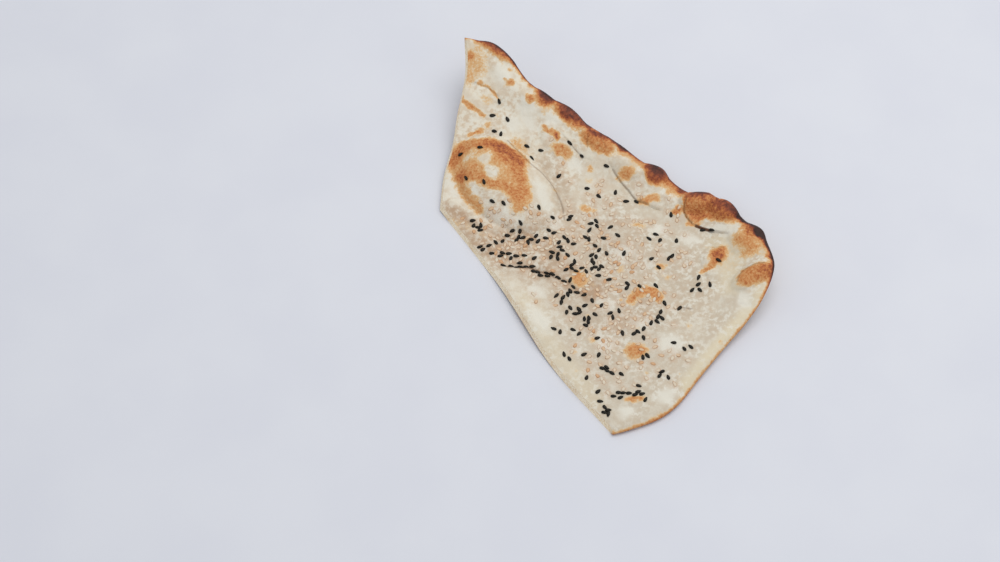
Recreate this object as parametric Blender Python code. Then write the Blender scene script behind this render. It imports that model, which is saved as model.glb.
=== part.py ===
# A cut piece of thin, crisp, seeded flatbread, lying on its underside with the baked face up.
# The design is written in millimetres, and MM turns it into metres. Seen from above, the near
# corner is at low Y, the curled tip at high Y, and the baked outer edge runs along the +X side.

import math
import random

import bmesh
import bpy
import numpy as np
from mathutils import Matrix, Vector, geometry, noise
from mathutils.bvhtree import BVHTree

MM = 0.001

# The sheet of bread: its thickness, and how that swings over lumps of a given width
THICKNESS = 3.3
THICKNESS_SWING = 0.5
THICKNESS_LUMP = 24.0
THINNEST = 1.8

# The baked edge is a round nose, and the share of the thickness left at its very end
EDGE_RADIUS = 3.4
NOSE_SHARE = 0.16

# The cut faces lean in towards the top, whose sharp edge is slightly worn
CUT_SLANT = 1.3
CUT_ROUNDING = 0.35

# How finely the sheet is divided into triangles: grid spacings, the depths of the rings of
# points inside the outline, and how near a ring or a grid point may come to other points
TOP_SPACING = 5.4
UNDERSIDE_SPACING = 11.0
OUTLINE_SPACING = 4.6
TOP_RINGS = (0.9, 2.4, 5.0)
UNDERSIDE_RINGS = (0.9, 3.2)
RING_CLEARANCE = 0.85
GRID_CLEARANCE = 0.6
PATH_STEPS = 6
CREASE_STEPS = 4

# The outline from above: the baked edge from the near corner round to the tip, then the two
# knife cuts, which meet at the left corner.
BAKED_EDGE = (
    (0, -110.5), (8.5, -108), (22.5, -102.3), (33, -94), (45, -78.3), (57.5, -62.6), (69.3, -49.2),
    (79, -36), (84.6, -21.5), (82, -6.5), (80.2, 1), (72.5, 10), (66, 21), (57, 29.5), (46, 32.7),
    (36, 40), (31, 46.7), (21, 50.8), (9, 60.5), (-5, 68.5), (-17, 79.3), (-29, 86.3), (-41, 95),
    (-49, 105.6), (-58, 113), (-68, 115.6), (-75.3, 117.4),
)
UPPER_CUT = ((-75.3, 117.4), (-75, 99), (-79.2, 78), (-81.4, 63), (-86.2, 44), (-88, 24))
LOWER_CUT = ((-88, 24), (-58.3, -20.6), (-31.3, -69.5), (0, -110.5))

# Where the sheet leaves the ground: the tip and the right-hand side curl up, and what would
# hang less than REST_DEPTH above the ground is pressed flat onto it
REST_DEPTH = 0.5
TIP_LIFT = 34.0
TIP_START, TIP_REACH, TIP_CURVE = 20.0, 108.0, 1.6
SIDE_LIFT = 18.0
SIDE_START, SIDE_REACH, SIDE_CURVE = 38.0, 50.0, 1.7
SIDE_FADE_START, SIDE_FADE_REACH = -20.0, 70.0

# Low swells of the whole sheet: x, y, long radius, short radius, turn in degrees, height
SWELLS = (
    (-40, -44, 34, 13, -56, 3.0),
    (22, -2, 24, 15, -20, 2.2),
    (34, -66, 26, 15, 45, 2.4),
    (-82, 28, 13, 9, 60, 1.6),
)

# Air blisters in the top: x, y, half length, half width, turn, height, steepness of the rim.
# The first is the great one beside the upper cut, and the next eleven stand along the baked edge.
BLISTERS = (
    (-53, 37, 35, 22, -46, 10.5, 1.2),
    (-57, 109, 12, 4.5, -34, 1.8, 1.0),
    (-32, 86, 7, 5, -36, 1.8, 1.0),
    (-19.5, 77.5, 10, 5.5, -38, 2.6, 1.0),
    (-3, 62.5, 13, 6.2, -34, 3.2, 1.1),
    (12, 46.5, 10, 6, -40, 2.2, 1.0),
    (26.5, 43.5, 8.5, 6.5, -30, 3.0, 1.1),
    (49, 25, 10.5, 7.5, -12, 5.6, 1.3),
    (62, 18, 9, 6.8, -38, 4.8, 1.3),
    (77, 3, 6, 4, -55, 1.8, 1.0),
    (70, -3, 9, 8, -60, 2.0, 1.0),
    (73.5, -24, 12, 7, 28, 3.4, 1.1),
    (55, -8, 9, 6, 40, 1.6, 1.0),
    (20.5, -28.5, 8.5, 5.5, 12, 1.3, 1.0),
    (13, -63, 7, 5, 10, 1.3, 1.0),
    (-13, -19.5, 9, 6, 15, 1.2, 1.0),
    (24, 28, 7, 5, 20, 1.6, 1.0),
    (-26, 62, 12, 7, -48, 1.8, 1.0),
    (-70, 100, 7, 9, 15, 1.6, 1.0),
    (-40, 84, 6, 5, 0, 1.2, 1.0),
)

BLISTER_CROWN = 0.9

# Rings of points that keep a blister's form, as shares of its size, and their spacing
BIG_BLISTER = 10.0
BIG_BLISTER_RINGS = (0.25, 0.5, 0.75, 0.97)
SMALL_BLISTER_RINGS = (0.45, 0.97)
BLISTER_SPACING = 6.4

# The knife pressed the relief down beside the cuts: the share left there, and over what width
CUT_RELIEF = 0.25
CUT_CALM = 14.0

# Puffed rim inside the baked edge: its crown lies RIM_CROWN in from the edge, and it is lower
# below the right-hand corner
RIM_HEIGHT = 2.9
RIM_CROWN, RIM_WIDTH = 8.5, 7.5
LOWER_RIM_SHARE = 0.35
RIM_CHANGE_Y, RIM_CHANGE_REACH = -18.0, 20.0

# Creases: a path, the groove's depth and half width, the height of the lip beside it (on the
# path's left, or on its right where it is negative), and how far the lip reaches
CREASES = (
    (((-37, 54), (-30.5, 42), (-26, 32.5), (-23.5, 23), (-21, 14)), 0.8, 1.6, 0.0, 8.0),
    (((-84, 20), (-73, 15.5), (-65, 10.5), (-56, 5.5), (-44, 5), (-32, 7)), 0.9, 2.0, 0.0, 8.0),
    (((-60, -9.5), (-52, -13.5), (-40, -14), (-24, -22), (-10, -34)), 0.9, 1.8, -0.7, 9.0),
    (((-6, 50.5), (-12, 53.5), (-16, 57.5), (-20, 63), (-29, 72)), 0.7, 1.3, -1.6, 8.0),
    (((30, 23), (26, 24), (21, 25.5), (16, 30), (12, 36), (6, 47.5), (2.5, 54)), 0.8, 1.3, -2.2, 8.0),
    (((65, 2), (55, 6.5), (48, 10.5), (43.5, 15.5), (40, 23)), 0.8, 1.4, -1.8, 7.0),
)

# Unevenness of the top: size of a lump, height
LUMPS = ((19.0, 0.75), (8.5, 0.35))

# Seeds: length, width and height, how far the middle of one stands above the surface as a
# share of its height, and how its two ends differ
BLACK_SEED = (3.3, 1.8, 1.3)
PALE_SEED = (3.1, 1.8, 1.1)
SEED_PROUD = 0.18
SEED_TAPER = 0.45
SEED_SIDES, SEED_RINGS = 5, 3
SEED_SIZE_SWING = 0.08
SEED_TILT = 9.0

# Seeds keep this far apart and this far inside the edge, so that some of them touch
SEED_GAP = 2.0
SEED_MARGIN = 3.2
SEED_DRAW = 33

# Seeds that lie in a narrow row turn along it, within some degrees
NARROW_ROW = 1.0
ROW_SWING = 16.0

# A height above the whole piece, and the length below which an edge is a sliver
TOP_OF_ALL = 100.0
SLIVER = 0.02

# Black seeds that lie alone: x, y, heading in degrees
LONE_SEEDS = (
    (-56.5, 83.5, 105), (-60, 76, 5), (-52, 74, 115), (-59, 67.5, -15), (-55.5, 66, 80),
    (-41.5, 59.5, -30), (-66.5, 54, -15), (-77, 53.5, 10), (-74, 38, 120), (-64.5, 34, 105),
    (-34, 57, -10), (-39, 51.5, -50), (-60, 23.5, -35), (-54, 21.5, -55), (-35.5, 19.5, -65),
    (-18.5, 60, -50), (-12, 53.5, -50), (1, 47.5, -25), (-24.5, 42.5, 40), (-9.5, 35.5, -10),
    (-3.5, 30.5, -40), (5.5, 33, 80), (11, 27.5, 5), (16.5, 27.5, -45), (34.5, 19, 90),
    (36.5, 2.5, 80), (57.5, -12, -30), (52.5, -25, 95), (-6.5, -56.5, 20), (-12.5, -79.5, 70),
    (13.5, -84.5, -20), (-7, -87.5, 40), (16.5, -92.5, 60),
)

# Where the other seeds fell: x, y, long spread, short spread, turn, count
BLACK_SHAKES = (
    (-67, 11, 2.6, 1.4, -45, 5), (-58, 4, 3, 2, 0, 2), (-50, 8, 3, 2, 30, 4),
    (-46, 4, 3, 2, 0, 3), (-36, 6, 5, 2, 60, 4), (-28, 8, 3, 4, 0, 4),
    (-66, -1, 2.4, 0.8, 20, 3), (-55, -5, 5, 0.8, -6, 6), (-46, -8, 4, 1.5, 0, 3),
    (-48, -13.5, 4.5, 0.6, -3, 6), (-33, -18, 6, 0.7, -18, 8), (-27, -10, 3, 2, -45, 3),
    (-24, -2, 3, 2, 0, 5), (-20, 2, 3, 2, 0, 3), (-19, -14, 3, 2, -60, 6),
    (-19, 17, 1.6, 0.6, 35, 2), (-3, 16, 5, 1.5, 5, 3), (-2, 7, 6, 3, 0, 6),
    (0, -3, 5, 2, 0, 4), (-9, -7, 4, 2, 20, 4), (-8, -15, 6, 1.5, 10, 5),
    (-4, -20, 4, 2, 0, 2), (-16, -27, 4, 2, -35, 6), (-24, -34, 3, 3, 0, 5),
    (-16, -41, 5, 3, 0, 4), (-12.5, -45, 2.2, 1.8, -50, 5), (-6, -40, 4, 1.2, -45, 3),
    (6, -40, 4, 2, 0, 2), (-20, -54, 3, 3, 0, 4), (18, 5, 5, 2, 0, 3),
    (33, -7, 2, 0.8, 60, 2), (16, -12, 7, 6, 0, 3), (14, -26, 5, 1, 0, 3),
    (46, -27, 3.4, 1.4, 90, 4), (25, -38, 5, 5, 0, 5), (50.5, 9, 3, 0.4, -25, 2),
    (23.5, -45.5, 2.5, 0.6, 55, 3), (15, -54.5, 4, 2, 0, 4), (-18, -68, 6, 1.5, -5, 4),
    (19, -66, 3, 1, 20, 2), (39, -62, 5, 2.5, -45, 3), (-1.5, -75.5, 3, 0.8, -25, 5),
    (27, -79, 2.5, 1.2, -40, 3), (6, -89, 4.5, 0.8, 6, 8), (-3.5, -97.5, 2.2, 1.5, -50, 5),
)
PALE_SHAKES = (
    (-25, 0, 24, 7, -22, 4),
    (0, -36, 18, 16, 0, 4),
)


def path_samples(points, steps):
    """Fine points on the smooth curve that passes through the given points."""
    knots = [np.array(p, dtype=float) for p in points]
    knots = [2 * knots[0] - knots[1]] + knots + [2 * knots[-1] - knots[-2]]
    samples = []
    for before, start, end, after in zip(knots, knots[1:], knots[2:], knots[3:]):
        for step in range(steps):
            t = step / steps
            samples.append(0.5 * (
                2 * start + (end - before) * t
                + (2 * before - 5 * start + 4 * end - after) * t ** 2
                + (3 * start - before - 3 * end + after) * t ** 3
            ))
    samples.append(knots[-2])
    return np.array(samples)


def spaced_path(path, spacing):
    """Points at an even spacing along a path, from its first point up to, not on, its last."""
    travelled = np.concatenate(([0.0], np.cumsum(np.hypot(*np.diff(path, axis=0).T))))
    count = int(round(travelled[-1] / spacing))
    stops = np.arange(count) * travelled[-1] / count
    return np.column_stack([np.interp(stops, travelled, path[:, axis]) for axis in (0, 1)])


def distance_to(path, x, y):
    """Distance from each point to the path, and its side: positive on the path's left."""
    nearest = np.full(x.shape, np.inf)
    side = np.zeros(x.shape)
    for (ax, ay), (bx, by) in zip(path[:-1], path[1:]):
        dx, dy = bx - ax, by - ay
        along = np.clip(((x - ax) * dx + (y - ay) * dy) / (dx * dx + dy * dy), 0.0, 1.0)
        gap = np.hypot(x - ax - along * dx, y - ay - along * dy)
        closer = gap < nearest
        nearest = np.where(closer, gap, nearest)
        side = np.where(closer, np.sign(dx * (y - ay) - dy * (x - ax)), side)
    return nearest, side


def depth_inside(loop, x, y):
    """How far inside a closed loop each point lies, and 0 for a point outside it."""
    gap, _ = distance_to(np.vstack((loop, loop[:1])), x, y)
    hits = np.zeros(x.shape, dtype=bool)
    for (ax, ay), (bx, by) in zip(loop, np.roll(loop, -1, axis=0)):
        if ay != by:
            hits ^= ((ay > y) != (by > y)) & (x < (bx - ax) * (y - ay) / (by - ay) + ax)
    return np.where(hits, gap, 0.0)


def turned(x, y, centre_x, centre_y, turn):
    """Coordinates about a centre, along and across a direction turned by some degrees."""
    angle = math.radians(turn)
    along = (x - centre_x) * math.cos(angle) + (y - centre_y) * math.sin(angle)
    across = (y - centre_y) * math.cos(angle) - (x - centre_x) * math.sin(angle)
    return along, across


def placed(centre_x, centre_y, along, across, turn):
    """The point that lies along and across a turned direction from a centre."""
    angle = math.radians(turn)
    x = centre_x + along * math.cos(angle) - across * math.sin(angle)
    y = centre_y + along * math.sin(angle) + across * math.cos(angle)
    return x, y


def eased(value, start, reach):
    """0 below start, 1 above start + reach, and a smooth step between."""
    t = np.clip((value - start) / reach, 0.0, 1.0)
    return t * t * (3 - 2 * t)


def lumps(x, y, size, offset):
    """Smooth random unevenness between about -1 and 1, with lumps of the given size."""
    return np.array([
        noise.noise(Vector((px / size, py / size, offset))) for px, py in zip(x, y)
    ])


baked_path = path_samples(BAKED_EDGE, PATH_STEPS)
cut_paths = [path_samples(cut, PATH_STEPS) for cut in (UPPER_CUT, LOWER_CUT)]
outline = np.vstack([spaced_path(path, OUTLINE_SPACING) for path in (baked_path, *cut_paths)])


def underside_height(x, y):
    """Height of the underside: flat on the ground in the middle, lifted at the tip and side."""
    tip = TIP_LIFT * np.clip((y - TIP_START) / TIP_REACH, 0, 1) ** TIP_CURVE
    fade = np.clip(1 - (SIDE_FADE_START - y) / SIDE_FADE_REACH, 0, 1)
    side = SIDE_LIFT * np.clip((x - SIDE_START) / SIDE_REACH, 0, 1) ** SIDE_CURVE * fade
    height = tip + side - REST_DEPTH
    for cx, cy, long_radius, short_radius, turn, rise in SWELLS:
        along, across = turned(x, y, cx, cy, turn)
        height = height + rise * np.exp(-(along / long_radius) ** 2 - (across / short_radius) ** 2)
    return np.maximum(height, 0.0)


def relief(x, y, edge_distance, cut_distance):
    """Height of blisters, rim, creases and lumps above the plain sheet."""
    upper = eased(y, RIM_CHANGE_Y, RIM_CHANGE_REACH)
    rim_share = LOWER_RIM_SHARE + (1 - LOWER_RIM_SHARE) * upper
    height = RIM_HEIGHT * rim_share * np.exp(-((edge_distance - RIM_CROWN) / RIM_WIDTH) ** 2)
    for cx, cy, half_length, half_width, turn, rise, steepness in BLISTERS:
        along, across = turned(x, y, cx, cy, turn)
        reach = np.hypot(along / half_length, across / half_width)
        height = height + rise * np.clip(1 - reach ** (2 * steepness), 0, 1) ** BLISTER_CROWN
    height = height * (CUT_RELIEF + (1 - CUT_RELIEF) * eased(cut_distance, 0.0, CUT_CALM))
    for points, depth, half_width, lip, lip_reach in CREASES:
        distance, side = distance_to(path_samples(points, CREASE_STEPS), x, y)
        height = height - depth * np.exp(-(distance / half_width) ** 2)
        height = height + abs(lip) * (side * lip > 0) * np.exp(-distance / lip_reach)
    for number, (size, rise) in enumerate(LUMPS):
        height = height + rise * lumps(x, y, size, 10.0 * number)
    return height


def sheet_heights(x, y):
    """Heights of the underside and the top at each point."""
    x, y = np.asarray(x, dtype=float), np.asarray(y, dtype=float)
    edge_distance, _ = distance_to(baked_path, x, y)
    cut_distance = np.min([distance_to(path, x, y)[0] for path in cut_paths], axis=0)
    low = underside_height(x, y)
    depth = THICKNESS + THICKNESS_SWING * lumps(x, y, THICKNESS_LUMP, 50.0)
    depth = np.maximum(depth + relief(x, y, edge_distance, cut_distance), THINNEST)
    depth = depth - CUT_ROUNDING * np.clip(1 - cut_distance / (2 * CUT_SLANT), 0, 1)
    fullness = np.sqrt(1 - (1 - np.clip(edge_distance / EDGE_RADIUS, 0, 1)) ** 2)
    fullness = np.maximum(fullness, NOSE_SHARE)
    return low + depth * (1 - fullness) / 2, low + depth * (1 + fullness) / 2


def inward(loop):
    """Unit normals of a counter-clockwise loop, pointing into it."""
    along = np.roll(loop, -1, axis=0) - np.roll(loop, 1, axis=0)
    along = along / np.hypot(*along.T)[:, None]
    return np.column_stack((-along[:, 1], along[:, 0]))


def filling(loop, rings, spacing, extra):
    """Points inside a loop: rings beside its edge, the extra points, and an even grid."""
    kept = [np.array(extra).reshape(-1, 2)]
    for depth in rings:
        ring = loop + depth * inward(loop)
        kept.append(ring[depth_inside(loop, ring[:, 0], ring[:, 1]) > RING_CLEARANCE * depth])
    placed_points = np.vstack(kept)
    row_step = spacing * math.sqrt(0.75)
    low, high = loop.min(axis=0), loop.max(axis=0)
    rows = int((high[1] - low[1]) / row_step) + 1
    columns = int((high[0] - low[0]) / spacing) + 2
    grid = np.array([
        (low[0] + spacing * (column - 0.5 * (row % 2)), low[1] + row_step * row)
        for row in range(rows) for column in range(columns)
    ])
    grid = grid[depth_inside(loop, grid[:, 0], grid[:, 1]) > rings[-1] + 0.5 * spacing]
    clearance = GRID_CLEARANCE * spacing
    clear = [np.hypot(*(placed_points - point).T).min() > clearance for point in grid]
    return np.vstack((placed_points, grid[clear]))


def blister_points():
    """Points round the foot and part way up every blister, where they lie inside the rings."""
    points = []
    for cx, cy, half_length, half_width, turn, _, _ in BLISTERS:
        for share in BIG_BLISTER_RINGS if half_width > BIG_BLISTER else SMALL_BLISTER_RINGS:
            around = share * math.pi * (half_length + half_width)
            count = max(4, round(around / BLISTER_SPACING))
            for step in range(count):
                angle = 2 * math.pi * step / count
                along, across = share * half_length * math.cos(angle), share * half_width * math.sin(angle)
                points.append(placed(cx, cy, along, across, turn))
    points = np.array(points)
    return points[depth_inside(outline, points[:, 0], points[:, 1]) > TOP_RINGS[-1] + 1]


def face_triangles(loop, fill):
    """Triangles that cover the inside of a loop, on its own points and the filling points."""
    points = [Vector(p) for p in np.vstack((loop, fill))]
    edges = [(i, (i + 1) % len(loop)) for i in range(len(loop))]
    found = geometry.delaunay_2d_cdt(points, edges, [list(range(len(loop)))], 1, 1e-5)
    return found[0], found[2]


def make_sheet():
    """The bread without its seeds: a top, an underside and the strip between their edges."""
    edge_distance, _ = distance_to(baked_path, outline[:, 0], outline[:, 1])
    slant = CUT_SLANT * eased(edge_distance, 0.0, EDGE_RADIUS)
    top_loop = outline + slant[:, None] * inward(outline)
    surfaces = (
        (top_loop, filling(top_loop, TOP_RINGS, TOP_SPACING, blister_points()), 1),
        (outline, filling(outline, UNDERSIDE_RINGS, UNDERSIDE_SPACING, []), 0),
    )
    sheet = bmesh.new()
    rims = []
    for loop, fill, level in surfaces:
        points, triangles = face_triangles(loop, fill)
        heights = sheet_heights([p.x for p in points], [p.y for p in points])[level]
        verts = [sheet.verts.new((p.x * MM, p.y * MM, z * MM)) for p, z in zip(points, heights)]
        for triangle in triangles:
            corners = [verts[i] for i in triangle]
            sheet.faces.new(corners if level else corners[::-1])
        rims.append(verts[:len(loop)])
    top_rim, low_rim = rims
    for i in range(len(top_rim)):
        j = (i + 1) % len(top_rim)
        sheet.faces.new((low_rim[i], low_rim[j], top_rim[j], top_rim[i]))
    bmesh.ops.triangulate(sheet, faces=sheet.faces[:])
    bmesh.ops.recalc_face_normals(sheet, faces=sheet.faces[:])
    mesh = bpy.data.meshes.new("naan")
    sheet.to_mesh(mesh)
    sheet.free()
    return mesh


def seed_places(draw, shakes, taken):
    """Place and heading of each seed of some shakes, clear of the edge and of earlier seeds."""
    places = []
    for cx, cy, long_spread, short_spread, turn, count in shakes:
        wanted = len(places) + count
        while len(places) < wanted:
            x, y = placed(cx, cy, draw.gauss(0, long_spread), draw.gauss(0, short_spread), turn)
            crowded = any(math.hypot(x - px, y - py) < SEED_GAP for px, py, _ in taken)
            if crowded or depth_inside(outline, np.array([x]), np.array([y]))[0] < SEED_MARGIN:
                continue
            swing = ROW_SWING if short_spread < NARROW_ROW else 180.0
            place = (x, y, turn + draw.uniform(-swing, swing))
            taken.append(place)
            places.append(place)
    return places


def seed_mesh():
    """One seed of unit size along X: two pointed ends, one blunter than the other."""
    shape = bmesh.new()
    bmesh.ops.create_uvsphere(shape, u_segments=SEED_SIDES, v_segments=SEED_RINGS, radius=0.5)
    bmesh.ops.rotate(shape, verts=shape.verts[:], matrix=Matrix.Rotation(math.pi / 2, 3, "Y"))
    for vert in shape.verts:
        taper = 1 - SEED_TAPER * vert.co.x
        vert.co.y *= taper
        vert.co.z *= taper
    mesh = bpy.data.meshes.new("seed")
    shape.to_mesh(mesh)
    shape.free()
    return mesh


def seat(tree, x, y):
    """The point of the sheet's top at a place seen from above, and the face's normal there."""
    point, normal, _, _ = tree.ray_cast(Vector((x, y, TOP_OF_ALL)) * MM, Vector((0, 0, -1)))
    return point / MM, normal


def seed_matrix(draw, size, point, normal, turn):
    """Lay a seed on the bread at a point, turned to its heading, with its own tilt and size."""
    swing = [1 + draw.uniform(-SEED_SIZE_SWING, SEED_SIZE_SWING) for _ in range(3)]
    heading = Matrix.Rotation(math.radians(turn), 4, "Z")
    tilt = Matrix.Rotation(math.radians(draw.uniform(-SEED_TILT, SEED_TILT)), 4, "Y")
    scale = Matrix.Diagonal([length * share * MM for length, share in zip(size, swing)] + [1])
    middle = point + normal * SEED_PROUD * size[2]
    lie = Vector((0, 0, 1)).rotation_difference(normal).to_matrix().to_4x4()
    return Matrix.Translation(middle * MM) @ lie @ heading @ tilt @ scale


def scatter_seeds(sheet, collection):
    """Every seed as its own object in the given collection, lying on the sheet."""
    draw = random.Random(SEED_DRAW)
    shape = seed_mesh()
    tree = BVHTree.FromPolygons([v.co for v in sheet.vertices], [p.vertices for p in sheet.polygons])
    taken = list(LONE_SEEDS)
    black = list(LONE_SEEDS) + seed_places(draw, BLACK_SHAKES, taken)
    pale = seed_places(draw, PALE_SHAKES, taken)
    for size, places in ((BLACK_SEED, black), (PALE_SEED, pale)):
        for x, y, turn in places:
            point, normal = seat(tree, x, y)
            seed = bpy.data.objects.new("seed", shape)
            seed.matrix_world = seed_matrix(draw, size, point, normal, turn)
            seed.hide_render = True
            seed.display_type = "WIRE"
            collection.objects.link(seed)


def join_seeds(naan, collection):
    """Fuse the bread and its seeds into one solid, then take the loose seeds away."""
    union = naan.modifiers.new("join seeds", "BOOLEAN")
    union.operation = "UNION"
    union.operand_type = "COLLECTION"
    union.collection = collection
    union.solver = "EXACT"
    joined = bpy.data.meshes.new_from_object(naan.evaluated_get(bpy.context.evaluated_depsgraph_get()))
    naan.modifiers.clear()
    naan.data = joined
    for seed in list(collection.objects):
        bpy.data.objects.remove(seed)
    bpy.data.collections.remove(collection)


def merge_slivers(shape):
    """Draw the ends of very short edges together, where that keeps the surface closed."""
    for edge in [e for e in shape.edges if e.calc_length() < SLIVER * MM]:
        if not edge.is_valid:
            continue
        first, second = edge.verts
        around_first = {e.other_vert(first) for e in first.link_edges}
        around_second = {e.other_vert(second) for e in second.link_edges}
        if len(around_first & around_second) == 2:
            bmesh.ops.pointmerge(shape, verts=[first, second], merge_co=first.co)


def settle(mesh):
    """Put the origin at the middle of the piece's box, at the level it rests on."""
    tidy = bmesh.new()
    tidy.from_mesh(mesh)
    bmesh.ops.triangulate(tidy, faces=tidy.faces[:])
    merge_slivers(tidy)
    low = [min(v.co[axis] for v in tidy.verts) for axis in range(3)]
    high = [max(v.co[axis] for v in tidy.verts) for axis in range(3)]
    middle = Vector(((low[0] + high[0]) / 2, (low[1] + high[1]) / 2, low[2]))
    bmesh.ops.translate(tidy, verts=tidy.verts[:], vec=-middle)
    tidy.to_mesh(mesh)
    tidy.free()


def bread_material():
    """Pale baked dough, toasted in places, with a dull dry surface."""
    material = bpy.data.materials.new("baked bread")
    material.use_nodes = True
    shader = material.node_tree.nodes["Principled BSDF"]
    shader.inputs["Base Color"].default_value = (0.62, 0.52, 0.38, 1)
    shader.inputs["Roughness"].default_value = 0.8
    shader.inputs["Metallic"].default_value = 0.0
    return material


def main():
    for old in list(bpy.data.objects):
        bpy.data.objects.remove(old)
    part = bpy.data.collections.new("naan")
    loose_seeds = bpy.data.collections.new("seeds to join")
    for collection in (part, loose_seeds):
        bpy.context.scene.collection.children.link(collection)
    naan = bpy.data.objects.new("naan", make_sheet())
    part.objects.link(naan)
    scatter_seeds(naan.data, loose_seeds)
    bpy.context.view_layer.update()
    join_seeds(naan, loose_seeds)
    settle(naan.data)
    naan.data.materials.clear()
    naan.data.materials.append(bread_material())


main()
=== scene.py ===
import math
import random

import bmesh
import bpy
import numpy as np
from mathutils import Matrix, Vector, geometry, kdtree, noise
from mathutils.bvhtree import BVHTree


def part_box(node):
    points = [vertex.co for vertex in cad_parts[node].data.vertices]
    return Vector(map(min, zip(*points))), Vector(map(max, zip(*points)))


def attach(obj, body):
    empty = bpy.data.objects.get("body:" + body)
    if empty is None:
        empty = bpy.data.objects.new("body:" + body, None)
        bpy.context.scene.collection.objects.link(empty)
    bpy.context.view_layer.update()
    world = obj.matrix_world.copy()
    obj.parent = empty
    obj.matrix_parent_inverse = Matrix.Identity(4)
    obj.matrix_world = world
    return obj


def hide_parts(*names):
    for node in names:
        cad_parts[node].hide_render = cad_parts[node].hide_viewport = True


# The looks of a cut piece of thin, crisp flatbread with black and pale seeds. Places and lengths of
# the bread and its seeds are in millimetres, seen from above: the near corner at low y, the curled
# tip at high y, and the baked outer edge along the right-hand side. Those of the floor, the light
# and the camera are in metres.

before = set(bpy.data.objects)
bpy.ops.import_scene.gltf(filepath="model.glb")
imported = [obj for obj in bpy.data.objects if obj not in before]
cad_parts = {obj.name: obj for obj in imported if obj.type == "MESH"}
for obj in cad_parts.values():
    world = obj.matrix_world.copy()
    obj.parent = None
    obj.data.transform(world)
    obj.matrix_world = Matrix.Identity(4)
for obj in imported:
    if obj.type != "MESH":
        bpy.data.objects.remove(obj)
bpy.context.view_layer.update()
solidLow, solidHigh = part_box("naan")
mm = 0.001


class Field:
    # One output of a material's nodes: sums on it add Math nodes to the same tree
    def __init__(self, tree, socket=None):
        self.tree = tree
        self.socket = socket

    def node(self, kind, settings, sockets, output=0):
        made = self.tree.nodes.new(kind)
        for name, value in settings.items():
            if name == "stops":
                setStops(made.color_ramp, value)
            else:
                setattr(made, name, value)
        for name, value in sockets.items():
            if isinstance(value, Field):
                self.tree.links.new(value.socket, made.inputs[name])
            else:
                made.inputs[name].default_value = value
        return Field(self.tree, made.outputs[output])

    def maths(self, operation, first, second, clamp=False):
        settings = {"operation": operation, "use_clamp": clamp}
        return self.node("ShaderNodeMath", settings, {0: first, 1: second})

    def __add__(self, other):
        return self.maths("ADD", self, other)

    def __sub__(self, other):
        return self.maths("SUBTRACT", self, other)

    def __rsub__(self, other):
        return self.maths("SUBTRACT", other, self)

    def __mul__(self, other):
        return self.maths("MULTIPLY", self, other)

    __radd__ = __add__
    __rmul__ = __mul__

    def held(self):  # kept between 0 and 1
        return self.maths("ADD", self, 0.0, clamp=True)

    def stepped(self, low, high):  # 0 below low, 1 above high, smooth between
        sockets = {"Value": self, "From Min": low, "From Max": high}
        return self.node("ShaderNodeMapRange", {"interpolation_type": "SMOOTHSTEP"}, sockets)

    def blend(self, under, over):  # the first colour where this is 0, the second where it is 1
        return self.node("ShaderNodeMix", {"data_type": "RGBA"}, {0: self, 6: under, 7: over}, output=2)

    def grain(self, size, detail, roughness=0.5):  # noise with lumps of a size in millimetres
        place = self.node("ShaderNodeTexCoord", {}, {}, output="Object")
        sockets = {"Vector": place, "Scale": 1 / (size * mm), "Detail": detail, "Roughness": roughness}
        return self.node("ShaderNodeTexNoise", {}, sockets)

    def attribute(self, name):
        return self.node("ShaderNodeAttribute", {"attribute_name": name}, {}, output="Fac")

    def bump(self, height, looks):
        sockets = {"Height": height, "Strength": looks["bump"], "Distance": looks["bumpHeight"] * mm}
        return self.node("ShaderNodeBump", {}, sockets, output="Normal")


def setStops(ramp, stops):
    ramp.elements.remove(ramp.elements[1])
    ramp.elements[0].position, ramp.elements[0].color = stops[0]
    for position, colour in stops[1:]:
        ramp.elements.new(position).color = colour


def paint(colour):
    # A colour from the usual 0 to 255 scale, in linear light
    shares = [value / 255 for value in colour]
    return (*[s / 12.92 if s < 0.04 else ((s + 0.055) / 1.055) ** 2.4 for s in shares], 1.0)


def newMaterial(name):
    material = bpy.data.materials.new(name)
    material.use_nodes = True
    shader = material.node_tree.nodes["Principled BSDF"]
    return material, shader, Field(material.node_tree)


def plug(shader, sockets):
    # Links each field to its socket of the shader, and sets the others to their plain values
    for name, value in sockets.items():
        if isinstance(value, Field):
            value.tree.links.new(value.socket, shader.inputs[name])
        else:
            shader.inputs[name].default_value = value


def addObject(name, data):
    made = bpy.data.objects.new(name, data)
    bpy.context.scene.collection.objects.link(made)
    return made


def newPiece(name, points, faces, fields, material):
    # A smooth mesh that carries one number per point for each field of its material
    mesh = bpy.data.meshes.new(name)
    mesh.from_pydata(points.tolist(), [], faces)
    for field, values in fields.items():
        layer = mesh.attributes.new(field, "FLOAT", "POINT")
        layer.data.foreach_set("value", np.asarray(values, dtype=np.float32))
    mesh.shade_smooth()
    mesh.materials.append(material)
    return addObject(name, mesh)


def pathSamples(points, steps):
    # Fine points on the smooth curve that passes through the given points
    knots = [np.array(p[:2], dtype=float) for p in points]
    knots = [2 * knots[0] - knots[1]] + knots + [2 * knots[-1] - knots[-2]]
    samples = []
    for before, start, end, after in zip(knots, knots[1:], knots[2:], knots[3:]):
        for step in range(steps):
            t = step / steps
            samples.append(0.5 * (
                2 * start + (end - before) * t
                + (2 * before - 5 * start + 4 * end - after) * t ** 2
                + (3 * start - before - 3 * end + after) * t ** 3
            ))
    samples.append(knots[-2])
    return np.array(samples)


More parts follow.
